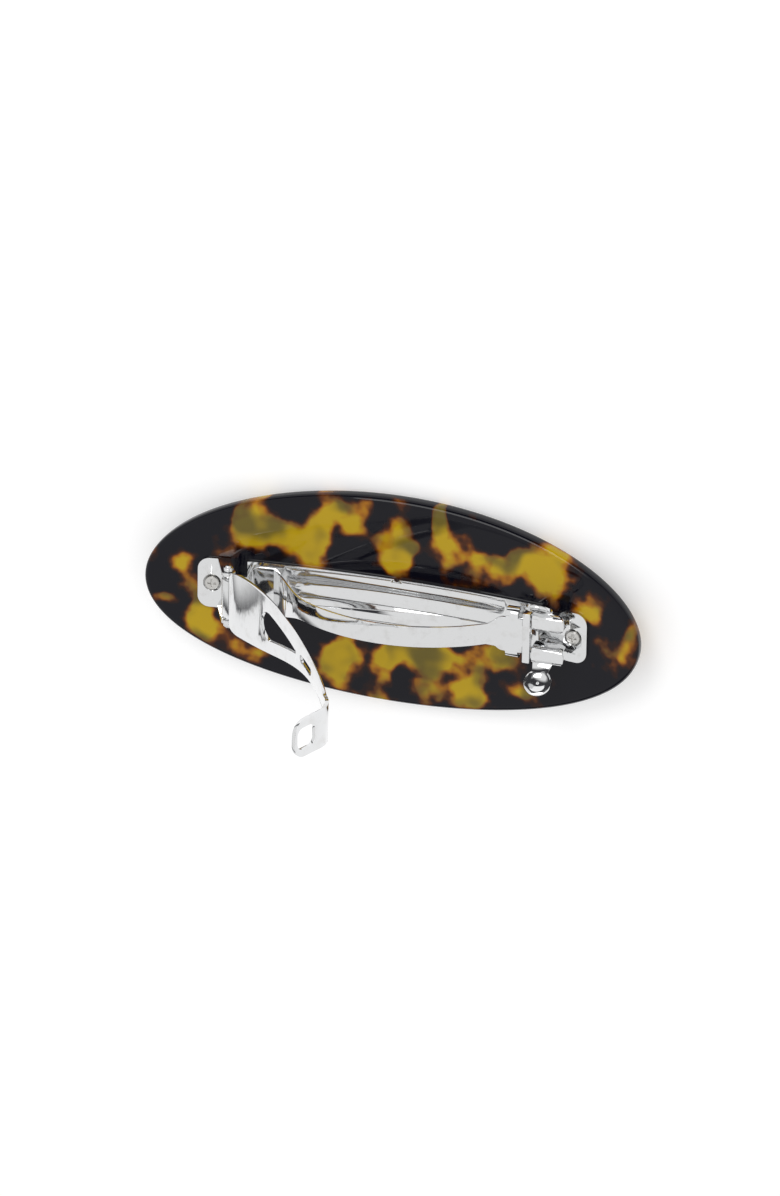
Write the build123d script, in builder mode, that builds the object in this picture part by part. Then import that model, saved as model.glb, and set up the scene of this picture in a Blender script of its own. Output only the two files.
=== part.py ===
"""Oval hair barrette: a bent acetate plate with a sprung metal clasp, stored with its lever open.

Millimetres. +X runs from the hinge to the catch, +Z out of the clasp side, and the convex
face of the acetate rests on Z = 0.
"""

import os
from math import asin, cos, radians, sin, sqrt

from build123d import *

# acetate plate
body_length = 89.0
body_width = 38.8
body_thickness = 3.0
outer_bend_radius = 225.0  # the convex face, bent along X only
rim_round = 1.1

# base plate of the clasp
clip_length = 70.0
plate_sheet = 0.6
seat_gap = 0.02
plate_width = 9.3
tab_length = 5.6
tab_corner = 2.1
neck_length = 3.0
hinge_neck_width = 3.2
catch_neck_width = 7.0
groove_count = 3
groove_pitch = 3.1
groove_width = 1.5
groove_depth = 0.3
groove_length = 39.5
edge_notch_radius = 0.45

# screws
screw_inset = 2.5  # from the end of the clip
screw_head_radius = 1.25
screw_head_rise = 0.32  # above the base plate
screw_head_sink = 0.28  # below its top
screw_neck_sink = 0.55
screw_shank_radius = 0.65
screw_grip = 1.9  # length of thread in the acetate
screw_clearance = 0.03
dimple_radius = 1.6
dimple_angle = 100.0
dimple_hole_radius = 0.88
recess_width = 0.34
recess_length = 1.5
recess_depth = 0.32

# hinge
hinge_inset = 6.8  # from the end of the clip to the pin
hinge_height = 10.2
pin_radius = 0.5
pin_clearance = 0.05
pin_head_radius = 0.85
pin_head_length = 0.7
pin_head_gap = 0.1
pin_tip_length = 0.3
ear_side_gap = 0.7  # between the lever's root and each ear
ear_sheet = 0.6
ear_radius = 1.2
ear_foot_length = 2.2
ear_lean = 2.4  # how far the foot lies behind the pin

# clasp lever, in stations along its closed chord from the pin
open_angle = 53.0  # from closed to the stored pose
lever_sheet = 0.6
lever_root_slope = -21.5
lever_turn = 40.0
lever_bridge_gap = 2.2  # from the end of the arch to the bridge, closed
lever_root_width = 7.0
lever_lobe_width = 11.6
lever_step_width = 9.4
lever_taper_width = 7.1
lever_neck_width = 3.4
lobe_start = 1.9
lobe_middle = 4.4
taper_station = 20.8
taper_slope = -0.2
neck_length_to_lift = 14.0
flare_length = 7.0
window_start = 10.8
window_length = 13.4
window_width = 5.2
window_tip_radius = 0.35
slot_start = 26.2
slot_length = 6.4
slot_width = 1.5
lift_width = 7.0
lift_corner = 2.6
lift_bend_radius = 5.0
lift_bend_turn = 42.0
lift_length = 6.6
lift_window_length = 4.4
lift_window_width = 4.0
lift_window_middle = 3.6  # from the end of the bend

# tension bar
bar_sheet = 0.5
bar_width = 3.8
bar_foot_width = 7.8
bar_end_width = 6.4
bar_peak_height = 15.2
bar_peak_x = -1.5
bar_foot_inset = 9.2  # from the end of the clip
bar_foot_length = 4.3
bar_foot_gap = 0.05
bar_taper_length = 7.5
bar_shoulder_length = 1.5
bar_end_length = 4.8
bar_end_gap = 0.25  # to the bridge
bar_tongue_width = 4.0
bar_bend_radius = 2.5
lug_length = 2.2
lug_inset = 0.8
lug_radius = 1.3

# catch: bridge and the two latch arms
bridge_inset = 10.0  # from the end of the clip to the middle of the bridge
bridge_length = 1.3
bridge_clear_height = 3.6
bridge_sheet = 0.5
bar_tongue_gap = 0.2  # under the bridge
arm_sheet = 0.5
arm_gap = 0.3  # to the bridge
arm_length = 5.7
arm_inner = 1.5
arm_outer = 4.7
arm_top_gap = 0.15  # below the top of the bridge
arm_floor_gap = 0.3
arm_corner = 1.4
arm_edge_radius = 0.75
pad_inset = 1.9  # from the arm's bridge end to the middle of the pad
pad_radius = 2.4
pad_reach = 4.05  # from the arm's edge to the middle of the pad
pad_lean = 38.0  # from upright
pad_stem_width = 3.7
pad_waist_width = 2.9
pad_waist_reach = 2.0
pad_stem_slope = 78  # degrees
pad_dish_radius = 6.0
pad_dish_depth = 0.28

# sizes that follow
half_clip = clip_length / 2
back_radius = outer_bend_radius - body_thickness
plate_low_radius = back_radius - seat_gap
plate_top_radius = plate_low_radius - plate_sheet
screw_x = half_clip - screw_inset
pin_x = hinge_inset - half_clip
bridge_x = half_clip - bridge_inset
middle_half = half_clip - tab_length - neck_length
tall = 4 * hinge_height


def height(x, radius):
    """Height of the bent surface of this radius at x."""
    return outer_bend_radius - sqrt(radius**2 - x**2)


def plate_face(x, rise=0):
    """Plane this far above the base plate's top at x, facing out of the clasp side."""
    tilt = asin(x / plate_top_radius)
    place = (x, 0, height(x, plate_top_radius))
    return Plane(origin=place, x_dir=(cos(tilt), 0, sin(tilt)), z_dir=(-sin(tilt), 0, cos(tilt))).offset(rise)


os.makedirs("parts", exist_ok=True)

# ---- acetate plate ----
with BuildPart() as oval_body:
    with BuildSketch(Plane.XY.offset(-1)):
        Ellipse(body_length / 2, body_width / 2)
    extrude(amount=tall)
    with BuildSketch(Plane.XZ):
        with Locations((0, outer_bend_radius)):
            Circle(outer_bend_radius)
            Circle(back_radius, mode=Mode.SUBTRACT)
    extrude(amount=body_width, both=True, mode=Mode.INTERSECT)
    fillet(oval_body.faces().sort_by(Axis.Z)[0].edges(), rim_round)
    fillet(oval_body.edges().filter_by(lambda e: e.length > body_length).sort_by(Axis.Z)[-1], rim_round)
    seat = -plate_sheet - seat_gap
    with Locations(plate_face(-screw_x, seat), plate_face(screw_x, seat)):
        Hole(screw_shank_radius + screw_clearance, depth=screw_grip + 2 * screw_clearance)
oval_body.part.label = "oval_body"

# ---- base plate: grooved middle, necks, screw tabs and hinge ears ----
with BuildPart() as groove_cutter:
    with BuildSketch():
        with GridLocations(0, groove_pitch, 1, groove_count):
            SlotOverall(groove_length, groove_width)
    extrude(amount=tall)
    with BuildSketch(Plane.XZ):
        with Locations((0, outer_bend_radius)):
            Circle(plate_top_radius + groove_depth)
    extrude(amount=plate_width, both=True, mode=Mode.INTERSECT)

ear_inner = lever_root_width / 2 + ear_side_gap
ear_outer = ear_inner + ear_sheet
foot_x = pin_x - ear_lean
foot_radius = plate_top_radius + plate_sheet / 2
with BuildPart() as base_plate:
    with BuildSketch():
        Rectangle(2 * middle_half, plate_width)
        with GridLocations(clip_length - tab_length, 0, 2, 1):
            RectangleRounded(tab_length, plate_width, tab_corner)
        with Locations((-middle_half - neck_length / 2, 0)):
            Rectangle(2 * neck_length, hinge_neck_width)
        with Locations((middle_half + neck_length / 2, 0)):
            Rectangle(2 * neck_length, catch_neck_width)
        with GridLocations(0, plate_width, 1, 2):
            Circle(edge_notch_radius, mode=Mode.SUBTRACT)
    extrude(amount=tall)
    with BuildSketch(Plane.XZ):
        with Locations((0, outer_bend_radius)):
            Circle(plate_low_radius)
            Circle(plate_top_radius, mode=Mode.SUBTRACT)
    extrude(amount=plate_width, both=True, mode=Mode.INTERSECT)
    add(groove_cutter.part, mode=Mode.SUBTRACT)
    with Locations(plate_face(-screw_x), plate_face(screw_x)):
        CounterSinkHole(dimple_hole_radius, dimple_radius, counter_sink_angle=dimple_angle)
    for side in (-1, 1):
        with BuildSketch(Plane.XZ.offset(side * (ear_inner + ear_sheet / 2))) as ear:
            with Locations((pin_x, hinge_height)):
                Circle(ear_radius)
            with BuildLine():
                Polyline(
                    (foot_x - ear_foot_length / 2, height(foot_x - ear_foot_length / 2, foot_radius)),
                    (foot_x + ear_foot_length / 2, height(foot_x + ear_foot_length / 2, foot_radius)),
                    (pin_x, hinge_height),
                    close=True,
                )
            make_face()
            make_hull(ear.edges())
            with Locations((pin_x, hinge_height)):
                Circle(pin_radius + pin_clearance, mode=Mode.SUBTRACT)
        extrude(amount=ear_sheet / 2, both=True)
base_plate.part.label = "base_plate"

# ---- hinge pin ----
pin_half = ear_outer + pin_head_gap + pin_head_length
with BuildPart() as hinge_pin:
    with BuildSketch(Plane.XZ):
        with Locations((pin_x, hinge_height)):
            Circle(pin_radius)
    extrude(amount=pin_half + pin_tip_length, both=True)
    with BuildSketch(Plane.XZ.offset(ear_outer + pin_head_gap), Plane.XZ.offset(-pin_half)):
        with Locations((pin_x, hinge_height)):
            Circle(pin_head_radius)
    extrude(amount=pin_head_length)
hinge_pin.part.label = "hinge_pin"

# ---- clasp lever: rolled root, arched sheet with two windows, bent-up finger lift ----
turned = radians(open_angle)
pin_place = (pin_x, 0, hinge_height)
lever_side = Plane(origin=pin_place, x_dir=(cos(turned), 0, sin(turned)), z_dir=(0, -1, 0))
lever_face = Plane(
    origin=pin_place, x_dir=(cos(turned), 0, sin(turned)), z_dir=(-sin(turned), 0, cos(turned))
)
roll_bore = pin_radius + pin_clearance
roll_middle = roll_bore + lever_sheet / 2
slope = radians(lever_root_slope)
lever_arc_length = bridge_x - pin_x - lever_bridge_gap
arc_radius = lever_arc_length / radians(lever_turn)
lift_start = lever_arc_length - lever_sheet
neck_start = lift_start - neck_length_to_lift
neck_end = lift_start - flare_length

with BuildPart() as clasp_lever:
    with BuildSketch(lever_side):
        with BuildLine():
            arch = JernArc(
                (-roll_middle * sin(slope), roll_middle * cos(slope)),
                (cos(slope), sin(slope)),
                arc_radius,
                lever_turn,
            )
            bend = JernArc(arch @ 1, arch % 1, lift_bend_radius, lift_bend_turn)
            lift = PolarLine(bend @ 1, lift_length, direction=bend % 1)
        trace(line_width=lever_sheet)
    extrude(amount=lever_lobe_width, both=True)
    with BuildSketch(lever_face):
        with BuildLine():
            root = Polyline(
                (-roll_middle, 0),
                (-roll_middle, lever_root_width / 2),
                (lobe_start, lever_root_width / 2),
            )
            step = Line(root @ 1, (lobe_start, lever_step_width / 2))
            lobe = Spline(step @ 1, (lobe_middle, lever_lobe_width / 2), tangents=((0.6, 1), (1, 0)))
            blade = Spline(
                lobe @ 1, (taper_station, lever_taper_width / 2), tangents=((1, 0), (1, taper_slope))
            )
            shank = Spline(
                blade @ 1, (neck_start, lever_neck_width / 2), tangents=((1, taper_slope), (1, 0))
            )
            neck = Line(shank @ 1, (neck_end, lever_neck_width / 2))
            flare = Spline(neck @ 1, (lift_start, lift_width / 2), tangents=((1, 0), (1, 0)))
            Polyline(flare @ 1, (lever_arc_length * 2, lift_width / 2), (lever_arc_length * 2, 0), root @ 0)
        make_face()
        mirror(about=Plane.XZ)
    extrude(amount=lever_arc_length, both=True, mode=Mode.INTERSECT)
    with BuildSketch(lever_face) as window:
        with Locations((window_start + window_width / 2, 0)):
            Circle(window_width / 2)
        with Locations((window_start + window_length - window_tip_radius, 0)):
            Circle(window_tip_radius)
        make_hull(window.edges())
        with Locations((slot_start + slot_length / 2, 0)):
            SlotOverall(slot_length, slot_width)
    extrude(amount=lever_arc_length, both=True, mode=Mode.SUBTRACT)
    lift_start_place = lever_side.from_local_coords(bend @ 1)
    lift_way = lever_side.from_local_coords(lift @ 1) - lift_start_place
    lift_face = Plane(origin=lift_start_place, x_dir=lift_way, z_dir=lift_way.rotate(Axis.Y, -90))
    with BuildSketch(lift_face):
        with Locations((lift_window_middle, 0)):
            RectangleRounded(lift_window_length, lift_window_width, lift_window_width / 3)
    extrude(amount=2 * lever_sheet, both=True, mode=Mode.SUBTRACT)
    lift_tip = lever_side.from_local_coords(lift @ 1)
    corners = clasp_lever.edges().filter_by(
        lambda e: e.length < 1.1 * lever_sheet and abs((e.center() - lift_tip).length - lift_width / 2) < 0.1
    )
    fillet(corners, lift_corner)
    with BuildSketch(lever_side):
        Circle(roll_bore + lever_sheet)
    extrude(amount=lever_root_width / 2, both=True)
    with BuildSketch(lever_side):
        Circle(roll_bore)
    extrude(amount=lever_root_width, both=True, mode=Mode.SUBTRACT)
clasp_lever.part.label = "clasp_lever"

# ---- tension bar: flat foot, bowed strip, end plate with two curled lugs and a tongue ----
foot_start = bar_foot_inset - half_clip
foot_end = foot_start + bar_foot_length
foot_rise = bar_foot_gap + bar_sheet / 2
bridge_low = height(bridge_x, plate_top_radius) + bridge_clear_height
bar_end_height = bridge_low - bar_tongue_gap - bar_sheet / 2
bar_end_x = bridge_x - bridge_length / 2 - bar_end_gap
bow_end = bar_end_x - bar_end_length
with BuildPart() as tension_bar:
    with BuildSketch(Plane.XZ):
        with BuildLine():
            foot = Line(
                (foot_start, height(foot_start, plate_top_radius) + foot_rise),
                (foot_end, height(foot_end, plate_top_radius) + foot_rise),
            )
            bow = ThreePointArc(foot @ 1, (bar_peak_x, bar_peak_height), (bow_end, bar_end_height))
            Line(bow @ 1, (bridge_x + bridge_length / 2, bar_end_height))
        trace(line_width=bar_sheet)
    extrude(amount=bar_foot_width, both=True)
    with BuildSketch():
        with BuildLine():
            heel = Polyline((foot_start, 0), (foot_start, bar_width / 2))
            toe_start = (foot_start + bar_width / 2, bar_foot_width / 2)
            toe = Spline(heel @ 1, toe_start, tangents=((0, 1), (1, 0)))
            side = Line(toe @ 1, (foot_end, bar_foot_width / 2))
            taper = Spline(side @ 1, (foot_end + bar_taper_length, bar_width / 2), tangents=((1, 0), (1, 0)))
            strip = Line(taper @ 1, (bow_end - bar_shoulder_length, bar_width / 2))
            shoulder = Spline(
                strip @ 1, (bow_end + bar_shoulder_length, bar_end_width / 2), tangents=((1, 0), (1, 0))
            )
            Polyline(
                shoulder @ 1,
                (bar_end_x, bar_end_width / 2),
                (bar_end_x, bar_tongue_width / 2),
                (bridge_x + bridge_length, bar_tongue_width / 2),
                (bridge_x + bridge_length, 0),
                heel @ 0,
            )
        make_face()
        mirror(about=Plane.XZ)
    extrude(amount=tall, mode=Mode.INTERSECT)
    for side in (-1, 1):
        with BuildSketch(Plane.YZ.offset(bar_end_x - lug_inset - lug_length)):
            with BuildLine():
                curl = CenterArc(
                    (side * bar_end_width / 2, bar_end_height - lug_radius),
                    lug_radius,
                    90,
                    -side * 100,
                )
            trace(line_width=bar_sheet)
        extrude(amount=lug_length)
tension_bar.part.label = "tension_bar"

# ---- catch bridge ----
with BuildPart() as catch_bridge:
    with BuildSketch(Plane.YZ.offset(bridge_x - bridge_length / 2)):
        with Locations((0, bridge_low + bridge_sheet)):
            Rectangle(plate_width, 2 * bridge_clear_height, align=(Align.CENTER, Align.MAX))
        with Locations((0, bridge_low)):
            Rectangle(
                plate_width - 2 * bridge_sheet,
                3 * bridge_clear_height,
                align=(Align.CENTER, Align.MAX),
                mode=Mode.SUBTRACT,
            )
    extrude(amount=bridge_length)
    with BuildSketch(Plane.XZ):
        with Locations((0, outer_bend_radius)):
            Circle(plate_top_radius - seat_gap)
    extrude(amount=plate_width, both=True, mode=Mode.INTERSECT)
catch_bridge.part.label = "catch_bridge"

# ---- latch arms: upright wall, lip rolled outwards, dished thumb pad on a waisted stem ----
arm_start = bridge_x + bridge_length / 2 + arm_gap
arm_end = arm_start + arm_length
arm_floor = height(arm_end, plate_top_radius) + arm_floor_gap
arm_top = bridge_low + bridge_sheet - arm_top_gap - arm_sheet / 2
wall_y = -arm_inner - arm_sheet / 2
edge_y = -arm_outer + arm_sheet / 2
lean = radians(pad_lean)
pad_root = (arm_start + pad_inset, edge_y, arm_top - arm_edge_radius)
pad_face = Plane(origin=pad_root, x_dir=(-1, 0, 0), z_dir=(0, cos(lean), sin(lean)))
with BuildPart() as latch_arm_lower:
    with BuildSketch(Plane.YZ.offset(arm_start)):
        with BuildLine():
            wall = Line((wall_y, arm_floor), (wall_y, arm_top - arm_edge_radius))
            turn_over = JernArc(wall @ 1, wall % 1, arm_edge_radius, 90)
            top = Line(turn_over @ 1, (edge_y + arm_edge_radius, arm_top))
            JernArc(top @ 1, top % 1, arm_edge_radius, 90)
        trace(line_width=arm_sheet)
    extrude(amount=arm_length)
    with BuildSketch():
        with BuildLine():
            Polyline(
                (arm_start, -arm_inner),
                (arm_start, -arm_outer),
                (arm_end, -arm_outer),
                (arm_end, -arm_inner),
                close=True,
            )
        make_face()
        fillet(vertices().group_by(Axis.X)[-1], arm_corner)
    extrude(amount=tall, mode=Mode.INTERSECT)
    with BuildSketch(pad_face):
        Trapezoid(pad_stem_width, pad_waist_reach, pad_stem_slope, align=(Align.CENTER, Align.MIN))
        with Locations((0, pad_reach)):
            Circle(pad_radius)
        with Locations((0, pad_waist_reach)):
            Rectangle(pad_waist_width, pad_radius)
    extrude(amount=arm_sheet / 2, both=True)
    with Locations(pad_face.offset(arm_sheet / 2 + pad_dish_radius - pad_dish_depth)):
        with Locations((0, pad_reach)):
            Sphere(pad_dish_radius, mode=Mode.SUBTRACT)
latch_arm_lower.part.label = "latch_arm_lower"

with BuildPart() as latch_arm_upper:
    mirror(latch_arm_lower.part, about=Plane.XZ)
latch_arm_upper.part.label = "latch_arm_upper"


# ---- screws ----
def screw(x):
    """Cross-head screw at x, along the plate's own normal there."""
    face = plate_face(x)
    shank_end = plate_sheet + seat_gap + screw_grip
    with BuildPart() as made:
        with BuildSketch(face.offset(-screw_head_sink)):
            Circle(screw_head_radius)
        extrude(amount=screw_head_sink + screw_head_rise)
        fillet(made.edges().sort_by(Axis(face.origin, face.z_dir))[-1], screw_head_rise / 2)
        with BuildSketch(face.offset(-screw_head_sink)):
            Circle(screw_head_radius - 2 * screw_clearance)
        with BuildSketch(face.offset(-screw_neck_sink)):
            Circle(screw_shank_radius)
        loft()
        with BuildSketch(face.offset(-shank_end)):
            Circle(screw_shank_radius)
        extrude(amount=shank_end - screw_neck_sink)
        with BuildSketch(face.offset(screw_head_rise)):
            Rectangle(recess_width, recess_length)
            Rectangle(recess_length, recess_width)
        extrude(amount=-recess_depth, mode=Mode.SUBTRACT)
    return made.part


screw_hinge_end = screw(-screw_x)
screw_hinge_end.label = "screw_hinge_end"
screw_catch_end = screw(screw_x)
screw_catch_end.label = "screw_catch_end"

export_step(oval_body.part, "parts/oval_body.step")
export_step(base_plate.part, "parts/base_plate.step")
export_step(hinge_pin.part, "parts/hinge_pin.step")
export_step(clasp_lever.part, "parts/clasp_lever.step")
export_step(tension_bar.part, "parts/tension_bar.step")
export_step(catch_bridge.part, "parts/catch_bridge.step")
export_step(latch_arm_lower.part, "parts/latch_arm_lower.step")
export_step(latch_arm_upper.part, "parts/latch_arm_upper.step")
export_step(screw_hinge_end, "parts/screw_hinge_end.step")
export_step(screw_catch_end, "parts/screw_catch_end.step")
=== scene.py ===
"""Looks for an oval tortoiseshell hair barrette with an open spring clasp.

Lengths are in metres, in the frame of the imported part: +X runs from the hinge to the catch and
+Z points out of the clasp side.
"""

import logging
import math
from dataclasses import dataclass, field
from enum import Enum

import bpy
from mathutils import Matrix, Vector


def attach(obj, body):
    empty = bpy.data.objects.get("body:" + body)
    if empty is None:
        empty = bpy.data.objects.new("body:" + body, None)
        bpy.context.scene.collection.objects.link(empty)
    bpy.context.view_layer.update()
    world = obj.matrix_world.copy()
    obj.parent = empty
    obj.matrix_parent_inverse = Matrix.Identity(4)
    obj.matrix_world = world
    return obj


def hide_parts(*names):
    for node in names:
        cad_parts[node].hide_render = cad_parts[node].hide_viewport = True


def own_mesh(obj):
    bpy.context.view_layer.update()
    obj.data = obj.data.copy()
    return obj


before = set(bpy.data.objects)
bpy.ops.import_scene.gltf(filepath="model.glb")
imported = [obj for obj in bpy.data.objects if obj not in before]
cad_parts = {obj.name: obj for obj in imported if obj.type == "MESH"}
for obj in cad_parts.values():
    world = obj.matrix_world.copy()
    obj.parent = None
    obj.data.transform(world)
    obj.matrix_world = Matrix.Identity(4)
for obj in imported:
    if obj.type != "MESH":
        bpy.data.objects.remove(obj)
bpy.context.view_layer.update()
LOG = logging.getLogger("barrette")
MM = 0.001


class Slot(Enum):
    """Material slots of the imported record."""

    ACETATE = "acetate"
    PLATED = "plated_steel"
    SPRING = "spring_steel"
    SCREW = "screw_steel"


class Wire:
    """One socket of a shader, which takes part in ordinary arithmetic."""

    def __init__(self, graph: "Graph", socket: bpy.types.NodeSocket) -> None:
        """Wraps the socket of a node in this graph."""
        self.graph = graph
        self.socket = socket

    def _maths(self, operation: str, *values: object) -> "Wire":
        """Adds a Math node.

        Args:
            operation: the Math node's operation.
            values: wires or numbers for its inputs, in order.

        Returns:
            The node's result.
        """
        return self.graph.node(
            "ShaderNodeMath", {"operation": operation}, **{f"i{n}": v for n, v in enumerate(values)}
        )

    def __add__(self, other: object) -> "Wire":
        """Sum of two values."""
        return self._maths("ADD", self, other)

    __radd__ = __add__

    def __sub__(self, other: object) -> "Wire":
        """Difference of two values."""
        return self._maths("SUBTRACT", self, other)

    def __rsub__(self, other: object) -> "Wire":
        """Difference with this value taken away."""
        return self._maths("SUBTRACT", other, self)

    def __mul__(self, other: object) -> "Wire":
        """Product of two values."""
        return self._maths("MULTIPLY", self, other)

    __rmul__ = __mul__

    def smooth(self, low: float, high: float) -> "Wire":
        """Eases from 0 at the low value to 1 at the high one.

        Args:
            low: value that gives 0.
            high: value that gives 1.

        Returns:
            The eased value.
        """
        return self.graph.node(
            "ShaderNodeMapRange",
            {"interpolation_type": "SMOOTHSTEP"},
            Value=self,
            From_Min=low,
            From_Max=high,
        )


class Graph:
    """A material's node tree, built by calls instead of by hand."""

    def __init__(self, name: str) -> None:
        """Makes an empty material of this name."""
        self.material = bpy.data.materials.new(name)
        self.material.use_nodes = True
        self.tree = self.material.node_tree
        self.tree.nodes.clear()
        self.place = self.node("ShaderNodeTexCoord", {}, output="Object")

    def node(self, kind: str, settings: dict, output: object = 0, **inputs: object) -> Wire:
        """Adds a node of any type.

        Args:
            kind: the node's type.
            settings: its properties, set before its sockets.
            output: name or number of the output that is returned.
            inputs: values or wires by socket name, with underscores for spaces, or as i0, i1.

        Returns:
            The chosen output.
        """
        made = self.tree.nodes.new(kind)
        for key, value in settings.items():
            if key == "stops":
                self._stops(made.color_ramp, value)
            else:
                setattr(made, key, value)
        for key, value in inputs.items():
            numbered = key[0] == "i" and key[1:].isdigit()
            socket = made.inputs[int(key[1:]) if numbered else key.replace("_", " ")]
            if isinstance(value, Wire):
                self.tree.links.new(value.socket, socket)
            else:
                socket.default_value = value
        return Wire(self, made.outputs[output])

    @staticmethod
    def _stops(ramp: bpy.types.ColorRamp, stops: tuple) -> None:
        """Sets a colour ramp's stops.

        Args:
            ramp: the ramp.
            stops: pairs of a place and a colour.
        """
        while len(ramp.elements) < len(stops):
            ramp.elements.new(1.0)
        for element, (place, colour) in zip(ramp.elements, stops):
            element.position = place
            element.color = (*colour, 1.0)

    def noise(self, size_mm: float, detail: float, offset: float = 0.0) -> Wire:
        """Cloudy noise on the object's own coordinates.

        Args:
            size_mm: size of its features.
            detail: number of finer layers.
            offset: moves the pattern, so that two are not alike.

        Returns:
            The noise value, about 0.5 on average.
        """
        moved = self.node("ShaderNodeMapping", {}, Vector=self.place, Location=(offset, offset * 0.7, 0))
        return self.node("ShaderNodeTexNoise", {}, Vector=moved, Scale=1.0 / (size_mm * MM), Detail=detail)

    def mix(self, share: object, first: object, second: object) -> Wire:
        """Mixes two colours.

        Args:
            share: wire or number, 0 for the first colour and 1 for the second.
            first: a colour or wire.
            second: a colour or wire.

        Returns:
            The mixed colour.
        """
        colours = [c if isinstance(c, Wire) else (*c, 1.0) for c in (first, second)]
        return self.node(
            "ShaderNodeMix",
            {"data_type": "RGBA", "clamp_factor": True},
            output=2,
            i0=share,
            i6=colours[0],
            i7=colours[1],
        )

    def bump(self, height: Wire, depth_mm: float, strength: float = 1.0) -> Wire:
        """Normal that stands the height up by this many millimetres."""
        return self.node("ShaderNodeBump", {}, Height=height, Distance=depth_mm * MM, Strength=strength)

    def finish(self, **sockets: object) -> bpy.types.Material:
        """Adds the surface shader and output.

        Args:
            sockets: values or wires of the Principled shader, with underscores for spaces.

        Returns:
            The finished material.
        """
        shader = self.node("ShaderNodeBsdfPrincipled", {}, **sockets)
        self.node_output(shader)
        return self.material

    def node_output(self, shader: Wire) -> None:
        """Links the shader to the material's output."""
        output = self.tree.nodes.new("ShaderNodeOutputMaterial")
        self.tree.links.new(shader.socket, output.inputs["Surface"])


@dataclass(frozen=True)
class Patch:
    """One light patch of the tortoiseshell, an oval in the plate's plane, in millimetres."""

    x: float
    y: float
    length: float
    width: float
    turn: float
    weight: float


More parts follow.
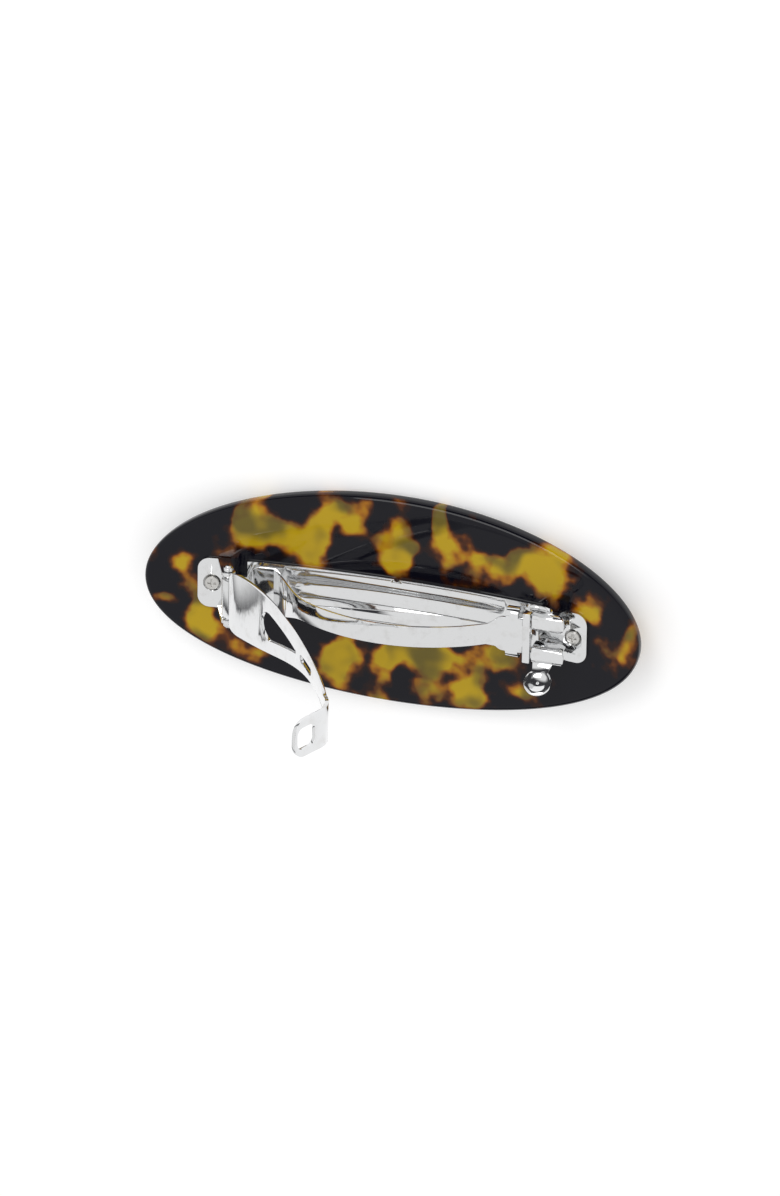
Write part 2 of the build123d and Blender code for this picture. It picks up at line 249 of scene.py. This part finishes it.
@dataclass(frozen=True)
class Tortoiseshell:
    """Polished acetate: near-black with torn honey patches that darken to red-brown at their rims."""

    patches: tuple = (
        Patch(-25.6, 13.8, 2.8, 5.0, 10, 1.0),
        Patch(-26.7, 8.4, 3.4, 2.2, 0, 0.8),
        Patch(-11.9, 15.8, 3.1, 3.1, 0, 1.0),
        Patch(-15.9, 10.6, 4.5, 2.8, 30, 0.8),
        Patch(-21.0, 10.6, 2.2, 1.9, 0, 0.6),
        Patch(-14.4, 7.4, 1.7, 2.8, 0, 0.8),
        Patch(-6.2, 17.8, 2.0, 1.9, 0, 0.8),
        Patch(-7.6, 13.3, 1.7, 2.2, 0, 0.8),
        Patch(-0.6, 11.9, 2.5, 3.7, -15, 0.9),
        Patch(2.4, 10.2, 2.2, 2.5, 0, 0.9),
        Patch(-0.5, 6.6, 2.2, 2.2, 0, 0.8),
        Patch(7.6, 17.3, 1.0, 3.7, 0, 0.9),
        Patch(8.5, 12.2, 2.0, 2.8, 10, 0.9),
        Patch(13.3, 12.1, 3.4, 2.5, -20, 0.7),
        Patch(17.2, 9.2, 3.4, 2.5, -20, 0.7),
        Patch(26.5, 10.5, 4.2, 4.7, 0, 1.1),
        Patch(22.8, 12.2, 2.2, 1.6, 0, 0.8),
        Patch(30.0, 15.2, 2.8, 1.2, -30, 0.8),
        Patch(35.1, 5.9, 2.5, 2.5, -30, 0.8),
        Patch(-37.3, 1.9, 2.0, 2.8, 0, 1.1),
        Patch(-34.5, -5.1, 1.7, 3.7, 10, 0.85),
        Patch(-41.5, -4.1, 2.0, 1.1, 10, 0.75),
        Patch(-33.9, -8.8, 3.4, 2.2, -20, 1.0),
        Patch(-26.5, -13.0, 2.8, 2.2, -10, 0.8),
        Patch(-10.4, -13.5, 2.1, 5.3, -5, 1.1),
        Patch(-11.0, -11.1, 3.4, 1.9, 0, 0.9),
        Patch(-1.7, -12.2, 2.0, 4.3, -15, 1.0),
        Patch(3.0, -9.3, 5.0, 2.2, 0, 0.8),
        Patch(6.5, -9.3, 3.4, 2.2, 0, 0.9),
        Patch(-4.5, -18.6, 3.4, 1.2, 0, 0.8),
        Patch(5.2, -15.4, 2.0, 3.4, -10, 0.9),
        Patch(11.4, -15.6, 2.5, 2.5, 0, 1.0),
        Patch(14.7, -14.3, 1.7, 3.1, 0, 1.0),
        Patch(22.7, -13.3, 2.8, 2.2, 0, 1.0),
        Patch(19.0, -6.9, 3.4, 2.2, 0, 0.8),
        Patch(40.2, -1.8, 2.2, 3.7, 15, 0.8),
        Patch(42.8, 1.9, 1.4, 3.7, 0, 0.7),
        Patch(13.1, -9.6, 5.0, 2.5, 10, 0.7),
        Patch(9.8, 8.4, 3.4, 2.5, 0, 0.5),
        Patch(-18.2, 7.2, 3.9, 2.5, 0, 0.4),
    )
    spread: float = 1.12  # patches reach this far past their stated size
    reach: float = 1.9  # in patch sizes, from a patch's middle to where it has faded out
    tear_size: float = 4.2
    tear_depth: float = 3.4
    fray_size: float = 1.9
    fray_depth: float = 0.5
    tear_detail: float = 0.6
    cloud_size: float = 5.0
    cloud_share: float = 1.7
    wisp_size: float = 1.8
    wisp_share: float = 0.45
    darkening: float = 0.08
    haze_size: float = 6.0
    haze_share: float = 0.85
    ripple_size: float = 14.0
    scuff_size: float = 0.5
    # near-black acetate; its blue tint is painted reflection, the cool cast of the reflected sky on the
    # dark parts
    black: tuple = (0.0035, 0.0034, 0.0070)
    brown: tuple = (0.022, 0.0060, 0.0030)
    rust: tuple = (0.105, 0.026, 0.0035)
    amber: tuple = (0.36, 0.135, 0.006)
    honey: tuple = (0.47, 0.31, 0.008)
    olive: tuple = (0.080, 0.068, 0.018)

    def _warped(self, graph: Graph) -> Wire:
        """Pushes the coordinates about by two sizes of noise, for torn edges.

        Args:
            graph: the material's graph.

        Returns:
            The moved coordinates.
        """
        pushed = graph.place
        for size, depth in ((self.tear_size, self.tear_depth), (self.fray_size, self.fray_depth)):
            cloud = graph.node(
                "ShaderNodeTexNoise",
                {},
                output="Color",
                Vector=graph.place,
                Scale=1.0 / (size * MM),
                Detail=self.tear_detail,
            )
            centred = graph.node(
                "ShaderNodeVectorMath", {"operation": "SUBTRACT"}, i0=cloud, i1=(0.5, 0.5, 0.5)
            )
            scaled = graph.node(
                "ShaderNodeVectorMath", {"operation": "SCALE"}, i0=centred, Scale=depth * MM
            )
            pushed = graph.node("ShaderNodeVectorMath", {"operation": "ADD"}, i0=pushed, i1=scaled)
        return pushed

    def _patch_field(self, graph: Graph) -> Wire:
        """Adds up all the patches.

        Args:
            graph: the material's graph.

        Returns:
            A value near a patch's weight at its middle, falling to 0 outside it.
        """
        warped = self._warped(graph)
        total: Wire | None = None
        for patch in self.patches:
            local = graph.node(
                "ShaderNodeMapping",
                {"vector_type": "TEXTURE"},
                Vector=warped,
                Location=(patch.x * MM, patch.y * MM, 0),
                Rotation=(0, 0, math.radians(patch.turn)),
                Scale=(patch.length * self.spread * MM, patch.width * self.spread * MM, 1.0),
            )
            away = graph.node("ShaderNodeVectorMath", {"operation": "LENGTH"}, output=1, i0=local)
            rise = graph.node(
                "ShaderNodeMapRange",
                {"interpolation_type": "SMOOTHSTEP"},
                Value=away,
                From_Min=self.reach,
                From_Max=0.0,
                To_Max=patch.weight,
            )
            total = rise if total is None else total + rise
        return total

    def material(self) -> bpy.types.Material:
        """Builds the acetate.

        Returns:
            The material.
        """
        graph = Graph("tortoiseshell_acetate")
        cloud = graph.noise(self.cloud_size, 1.5, offset=0.31) - 0.5
        wisps = graph.noise(self.wisp_size, 1.0, offset=0.77) - 0.5
        light = self._patch_field(graph) + cloud * self.cloud_share + wisps * self.wisp_share
        light = light - self.darkening
        colour = graph.node(
            "ShaderNodeValToRGB",
            {
                "stops": (
                    (0.20, self.black),
                    (0.33, self.brown),
                    (0.45, self.rust),
                    (0.60, self.amber),
                    (0.82, self.honey),
                    (1.0, self.honey),
                )
            },
            Fac=light,
        )
        haze = graph.noise(self.haze_size, 1.0, offset=0.12).smooth(0.44, 0.70)
        shaded = graph.mix(haze * light.smooth(0.35, 0.6) * self.haze_share, colour, self.olive)
        ripple = graph.noise(self.ripple_size, 1.0, offset=0.5)
        scuffs = graph.noise(self.scuff_size, 6.0, offset=0.9)
        rough = 0.035 + scuffs.smooth(0.55, 0.8) * 0.05
        return graph.finish(
            Base_Color=shaded,
            Roughness=rough,
            Normal=graph.bump(ripple, 0.02, 0.3),
            IOR=1.49,
            Specular_IOR_Level=0.24,
        )


@dataclass(frozen=True)
class Plating:
    """Bright nickel plating on pressed sheet: fine polishing lines, pits and a little tarnish."""

    name: str
    tone: tuple = (0.76, 0.765, 0.77)
    tarnish: tuple = (0.46, 0.44, 0.41)
    roughness: float = 0.07
    grain: tuple = (0.35, 9.0, 0.35)  # direction and length of the polishing lines, in millimetres
    grain_depth: float = 0.0016
    wave_depth: float = 0.012
    wave_size: float = 3.5
    smear_size: float = 2.2
    pit_size: float = 0.28

    def material(self) -> bpy.types.Material:
        """Builds the plating.

        Returns:
            The material.
        """
        graph = Graph(self.name)
        lined = graph.node(
            "ShaderNodeMapping", {}, Vector=graph.place, Scale=tuple(1.0 / (g * MM) for g in self.grain)
        )
        lines = graph.node("ShaderNodeTexNoise", {}, Vector=lined, Scale=1.0, Detail=5.0)
        waves = graph.noise(self.wave_size, 2.0, offset=0.41)
        smears = graph.noise(self.smear_size, 4.0, offset=0.63)
        pits = graph.noise(self.pit_size, 3.0, offset=0.2).smooth(0.68, 0.78)
        dulled = smears.smooth(0.50, 0.78)
        colour = graph.mix(dulled * 0.25 + pits * 0.5, self.tone, self.tarnish)
        rough = self.roughness + dulled * 0.07 + lines.smooth(0.45, 0.8) * 0.05 + pits * 0.2
        normal = graph.node(
            "ShaderNodeBump",
            {},
            Height=waves,
            Distance=self.wave_depth * MM,
            Normal=graph.bump(lines - pits, self.grain_depth),
        )
        return graph.finish(Base_Color=colour, Metallic=1.0, Roughness=rough, Normal=normal)


def clear_selection() -> None:
    """Leaves nothing selected, and object mode on."""
    if bpy.context.mode != "OBJECT":
        bpy.ops.object.mode_set(mode="OBJECT")
    bpy.ops.object.select_all(action="DESELECT")


def activate(piece: bpy.types.Object) -> None:
    """Selects one object alone and makes it active.

    Args:
        piece: the object.
    """
    clear_selection()
    piece.select_set(True)
    bpy.context.view_layer.objects.active = piece


def dress(piece: bpy.types.Object, material: bpy.types.Material) -> None:
    """Gives the object this one material."""
    piece.data.materials.clear()
    piece.data.materials.append(material)


@dataclass
class AcetateOval:
    """The bent oval plate."""

    length: float = 0.08898
    width: float = 0.03878
    thickness: float = 0.003
    bend_radius: float = 0.225
    rim_round: float = 0.0011
    outline_points: int = 240
    rim_steps: int = 7
    rings: int = 15
    ring_step: float = 0.6  # of a ring's even share, so that the rings crowd towards the rim
    last_ring: float = 0.2
    doubles: float = 1e-6

    def _flat_half(self) -> bpy.types.Object:
        """Models the upper half of the flat plate, from its middle plane up, with no face across its foot.

        Returns:
            The new object, with its middle plane at Z = 0.
        """
        clear_selection()
        bpy.ops.mesh.primitive_circle_add(
            vertices=self.outline_points, radius=1.0, fill_type="NGON", location=(0, 0, 0)
        )
        piece = bpy.context.object
        piece.name = "acetate_oval"
        bpy.ops.object.mode_set(mode="EDIT")
        bpy.ops.mesh.select_all(action="SELECT")
        bpy.ops.transform.resize(value=(self.length / 2, self.width / 2, 1.0))
        wall = self.thickness / 2 - self.rim_round
        bpy.ops.mesh.extrude_region_move(TRANSFORM_OT_translate={"value": (0, 0, wall)})
        done_in, done_up = 0.0, 0.0
        for step in range(1, self.rim_steps + 1):
            turn = math.radians(90 * step / self.rim_steps)
            inward = self.rim_round * (1 - math.cos(turn))
            upward = self.rim_round * math.sin(turn)
            bpy.ops.mesh.inset(thickness=inward - done_in, depth=0)
            bpy.ops.transform.translate(value=(0, 0, upward - done_up))
            done_in, done_up = inward, upward
        for ring in range(self.rings, 0, -1):
            share = (ring - self.ring_step) / ring if ring > 1 else self.last_ring
            bpy.ops.mesh.extrude_region_move(TRANSFORM_OT_translate={"value": (0, 0, 0)})
            bpy.ops.transform.resize(value=(share, share, 1.0))
        bpy.ops.mesh.merge(type="CENTER")
        bpy.ops.mesh.select_all(action="DESELECT")
        bpy.ops.object.mode_set(mode="OBJECT")
        for face in piece.data.polygons:
            face.select = len(face.vertices) == self.outline_points
        bpy.ops.object.mode_set(mode="EDIT")
        bpy.ops.mesh.delete(type="ONLY_FACE")
        bpy.ops.object.mode_set(mode="OBJECT")
        return piece

    def _close(self, piece: bpy.types.Object) -> None:
        """Mirrors the half below its middle plane and joins the two.

        Args:
            piece: the upper half.
        """
        activate(piece)
        mirror = piece.modifiers.new("other_face", "MIRROR")
        mirror.use_axis = (False, False, True)
        mirror.merge_threshold = self.doubles
        bpy.ops.object.modifier_apply(modifier=mirror.name)
        bpy.ops.object.mode_set(mode="EDIT")
        bpy.ops.mesh.select_all(action="SELECT")
        bpy.ops.mesh.remove_doubles(threshold=1e-7)
        bpy.ops.mesh.normals_make_consistent(inside=False)
        bpy.ops.object.mode_set(mode="OBJECT")

    def _bend(self, piece: bpy.types.Object) -> None:
        """Lays the flat plate onto its former, so that each layer has its own radius.

        Args:
            piece: the flat plate.
        """
        for vertex in piece.data.vertices:
            layer = self.bend_radius - (vertex.co.z + self.thickness / 2)
            vertex.co.z = self.bend_radius - math.sqrt(layer**2 - vertex.co.x**2)

    def build(self, material: bpy.types.Material) -> bpy.types.Object:
        """Models, dresses and places the plate.

        Args:
            material: the acetate.

        Returns:
            The finished piece.
        """
        piece = self._flat_half()
        self._close(piece)
        self._bend(piece)
        activate(piece)
        bpy.ops.object.shade_smooth()
        dress(piece, material)
        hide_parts("oval_body")
        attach(piece, "base")
        return piece


@dataclass
class SheetPart:
    """A pressed metal part with its sharp sheared edges softened."""

    node: str
    body: str
    slot: Slot
    edge: float = 0.00007
    edge_angle: float = 35.0
    smooth_angle: float = 40.0
    merge_distance: float = 2e-6
    flat_angle: float = 0.5  # faces that turn less than this become one

    def build(self, material: bpy.types.Material) -> bpy.types.Object:
        """Copies the part, rounds its edges and dresses it.

        Args:
            material: the plating.

        Returns:
            The finished piece.
        """
        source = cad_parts[self.node]
        piece = source.copy()
        piece.data = source.data.copy()
        piece.parent = None
        piece.matrix_world = Matrix.Identity(4)
        for key in list(piece.keys()):
            if key.startswith("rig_"):
                del piece[key]
        piece.name = f"{self.node}_plated"
        bpy.context.collection.objects.link(piece)
        activate(piece)
        bpy.ops.object.mode_set(mode="EDIT")
        bpy.ops.mesh.select_all(action="SELECT")
        bpy.ops.mesh.remove_doubles(threshold=self.merge_distance)
        bpy.ops.mesh.dissolve_limited(angle_limit=math.radians(self.flat_angle))
        bpy.ops.object.mode_set(mode="OBJECT")
        rounding = piece.modifiers.new("soft_edges", "BEVEL")
        rounding.width = self.edge
        rounding.segments = 2
        rounding.limit_method = "ANGLE"
        rounding.angle_limit = math.radians(self.edge_angle)
        rounding.harden_normals = False
        bpy.ops.object.modifier_apply(modifier=rounding.name)
        bpy.ops.object.shade_smooth_by_angle(angle=math.radians(self.smooth_angle))
        dress(piece, material)
        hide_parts(self.node)
        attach(piece, self.body)
        return piece


@dataclass
class SpringClasp:
    """The metal clasp: base plate, lever, tension bar, catch, pin and screws."""

    plate_top: float = 0.00515
    bar_keep: float = 0.04
    parts: tuple = (
        SheetPart("base_plate", "base", Slot.PLATED),
        SheetPart("catch_bridge", "base", Slot.PLATED),
        SheetPart("hinge_pin", "base", Slot.PLATED, edge=0.00014),
        SheetPart("clasp_lever", "lever", Slot.PLATED, edge=0.00012),
        SheetPart("latch_arm_lower", "lower_arm", Slot.PLATED, edge=0.0001),
        SheetPart("latch_arm_upper", "upper_arm", Slot.PLATED, edge=0.0001),
        SheetPart("tension_bar", "base", Slot.SPRING, edge=0.0001),
        SheetPart("screw_hinge_end", "base", Slot.SCREW, edge=0.00004),
        SheetPart("screw_catch_end", "base", Slot.SCREW, edge=0.00004),
    )
    finishes: dict = field(
        default_factory=lambda: {
            Slot.PLATED: Plating("bright_plating"),
            Slot.SPRING: Plating("spring_plating", grain=(9.0, 0.35, 0.35), roughness=0.06),
            Slot.SCREW: Plating("screw_plating", tone=(0.60, 0.59, 0.57), roughness=0.16),
        }
    )

    def build(self) -> None:
        """Builds every metal part, and gives the tension bar a mesh of its own."""
        materials = {slot: finish.material() for slot, finish in self.finishes.items()}
        for part in self.parts:
            piece = part.build(materials[part.slot])
            LOG.info("%s: %d faces", piece.name, len(piece.data.polygons))
            if part.node == "tension_bar":
                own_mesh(piece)


@dataclass(frozen=True)
class Softbox:
    """A rectangular studio light."""

    name: str
    place: tuple
    aim: tuple
    size: tuple
    power: float
    colour: tuple = (1.0, 1.0, 1.0)

    def build(self) -> None:
        """Hangs the light."""
        light = bpy.data.lights.new(self.name, "AREA")
        light.shape = "RECTANGLE"
        light.size, light.size_y = self.size
        light.energy = self.power
        light.color = self.colour
        lamp = bpy.data.objects.new(self.name, light)
        bpy.context.collection.objects.link(lamp)
        lamp.location = self.place
        way = Vector(self.aim) - Vector(self.place)
        lamp.rotation_mode = "QUATERNION"
        lamp.rotation_quaternion = way.to_track_quat("-Z", "Y")


@dataclass
class Studio:
    """Camera, pale floor and lights."""

    towards_camera: tuple = (0.2673, 0.4384, 0.8581)
    roll: float = 0.9
    distance: float = 2.227
    target: tuple = (0.0, 0.0, 0.00712)
    rise: float = 0.00252
    lens: float = 390.9
    floor_size: float = 6.0
    floor_level: float = -0.0002
    floor_glow: float = 0.30
    sky_strength: float = 0.9
    side_fill: float = 0.5  # how far the white of the room comes down towards the two ends
    dark_below: float = 0.45
    white_above: float = 0.60
    dark_band: tuple = (0.05, 0.05, 0.055, 1)
    white_room: tuple = (1, 1, 1, 1)
    sensor: float = 36.0
    view_depth: float = 20.0
    lights: tuple = (
        Softbox("overhead", (-0.10, 0.62, 0.62), (0, 0, 0), (0.35, 0.35), 1.6),
    )

    def camera(self) -> None:
        """Stands the camera at its place."""
        back = Vector(self.towards_camera).normalized()
        side = Vector((0, 1, 0)).cross(back).normalized()
        up = back.cross(side)
        roll = math.radians(self.roll)
        right = math.cos(roll) * side + math.sin(roll) * up
        top = -math.sin(roll) * side + math.cos(roll) * up
        data = bpy.data.cameras.new("camera")
        data.lens = self.lens
        data.sensor_width = self.sensor
        data.clip_end = self.view_depth
        holder = bpy.data.objects.new("camera", data)
        bpy.context.collection.objects.link(holder)
        spot = Vector(self.target) + back * self.distance + top * self.rise
        axes = Matrix((right, top, back)).transposed().to_4x4()
        holder.matrix_world = Matrix.Translation(spot) @ axes
        bpy.context.scene.camera = holder

    def floor(self) -> None:
        """Lays the pale floor."""
        clear_selection()
        bpy.ops.mesh.primitive_plane_add(size=self.floor_size, location=(0, 0, self.floor_level))
        sheet = bpy.context.object
        sheet.name = "pale_floor"
        graph = Graph("pale_paper")
        mottle = graph.noise(60.0, 2.0)
        colour = graph.mix(mottle, (0.78, 0.78, 0.785), (0.80, 0.80, 0.80))
        dress(
            sheet,
            graph.finish(
                Base_Color=colour,
                Roughness=0.9,
                Emission_Color=(1.0, 1.0, 1.0, 1.0),
                Emission_Strength=self.floor_glow,
            ),
        )

    def sky(self) -> None:
        """Surrounds the table with a white room that has a darker band low down."""
        world = bpy.data.worlds.new("room")
        world.use_nodes = True
        bpy.context.scene.world = world
        tree = world.node_tree
        tree.nodes.clear()
        place = tree.nodes.new("ShaderNodeTexCoord")
        split = tree.nodes.new("ShaderNodeSeparateXYZ")
        side = tree.nodes.new("ShaderNodeMath")
        side.operation = "ABSOLUTE"
        lift = tree.nodes.new("ShaderNodeMath")
        lift.operation = "MULTIPLY_ADD"
        lift.inputs[1].default_value = self.side_fill
        ramp = tree.nodes.new("ShaderNodeValToRGB")
        low, high = ramp.color_ramp.elements
        low.position, low.color = self.dark_below, self.dark_band
        high.position, high.color = self.white_above, self.white_room
        shade = tree.nodes.new("ShaderNodeBackground")
        shade.inputs["Strength"].default_value = self.sky_strength
        output = tree.nodes.new("ShaderNodeOutputWorld")
        tree.links.new(place.outputs["Generated"], split.inputs[0])
        tree.links.new(split.outputs["X"], side.inputs[0])
        tree.links.new(side.outputs[0], lift.inputs[0])
        tree.links.new(split.outputs["Z"], lift.inputs[2])
        tree.links.new(lift.outputs[0], ramp.inputs[0])
        tree.links.new(ramp.outputs[0], shade.inputs["Color"])
        tree.links.new(shade.outputs[0], output.inputs[0])

    def build(self) -> None:
        """Sets up the whole studio."""
        self.camera()
        self.floor()
        self.sky()
        for light in self.lights:
            light.build()
        bpy.context.scene.view_settings.view_transform = "Standard"


def main() -> None:
    """Builds the studio and the barrette."""
    logging.basicConfig(level=logging.INFO)
    Studio().build()
    oval = AcetateOval().build(Tortoiseshell().material())
    LOG.info("%s: %d faces", oval.name, len(oval.data.polygons))
    SpringClasp().build()


if __name__ == "__main__":
    main()
